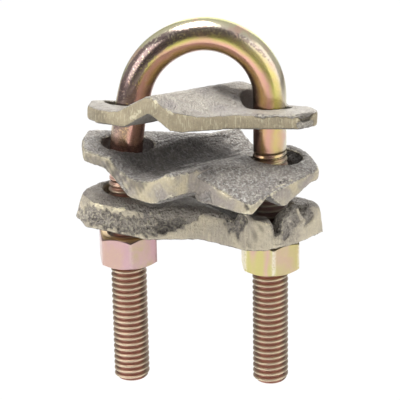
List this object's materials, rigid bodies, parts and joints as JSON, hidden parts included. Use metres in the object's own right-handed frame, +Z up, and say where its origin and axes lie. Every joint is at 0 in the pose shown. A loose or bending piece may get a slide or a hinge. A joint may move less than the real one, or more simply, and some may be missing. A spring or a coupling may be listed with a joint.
{
  "type": "cross connector",
  "caption": "Cross connector: a bent bolt with two threaded legs holds cast clamp plates and hexagon nuts that grip two crossing conductors.",
  "frame": {"origin": "midway between the end faces of the two threaded legs", "axes": "+X from the left leg to the right leg, +Y from the front to the rear, +Z up the legs towards the bow"},
  "size_m": [0.0644, 0.0474, 0.0988],
  "materials": {
    "zinc_gold": "yellow iridescent zinc plating",
    "nut_zinc": "yellow iridescent zinc plating",
    "cast_bronze": "rough as cast, edges ground"
  },
  "bodies": {
    "bow": {"u_bolt": "zinc_gold"},
    "upper": {"upper_plate": "cast_bronze"},
    "lower": {"lower_plate": "cast_bronze"},
    "middle": {"middle_plate": "cast_bronze"},
    "nut_left": {"left_nut": "nut_zinc"},
    "nut_right": {"right_nut": "nut_zinc"}
  },
  "joints": [
    {"name": "upper_slide", "type": "slide", "parent": "bow", "child": "upper", "axis": [0, 0, 1], "range_m": [-0.0048, 0]},
    {"name": "lower_slide", "type": "slide", "parent": "bow", "child": "lower", "axis": [0, 0, 1], "range_m": [-0.03, 0]},
    {"name": "middle_slide", "type": "slide", "parent": "lower", "child": "middle", "axis": [0, 0, 1], "range_m": [-0.0028, 0]},
    {"name": "left_nut_turn", "type": "hinge", "parent": "lower", "child": "nut_left", "pos_m": [-0.01855, 0, 0.0373], "axis": [0, 0, 1], "range_deg": [-6810, 0]},
    {"name": "right_nut_turn", "type": "hinge", "parent": "lower", "child": "nut_right", "pos_m": [0.01855, 0, 0.0361], "axis": [0, 0, 1], "range_deg": [-6810, 0]}
  ],
  "couplings": [
    {"joint": "left_nut_turn", "follows": "lower_slide", "rad_per_m": 3957.9},
    {"joint": "right_nut_turn", "follows": "lower_slide", "rad_per_m": 3957.9}
  ]
}
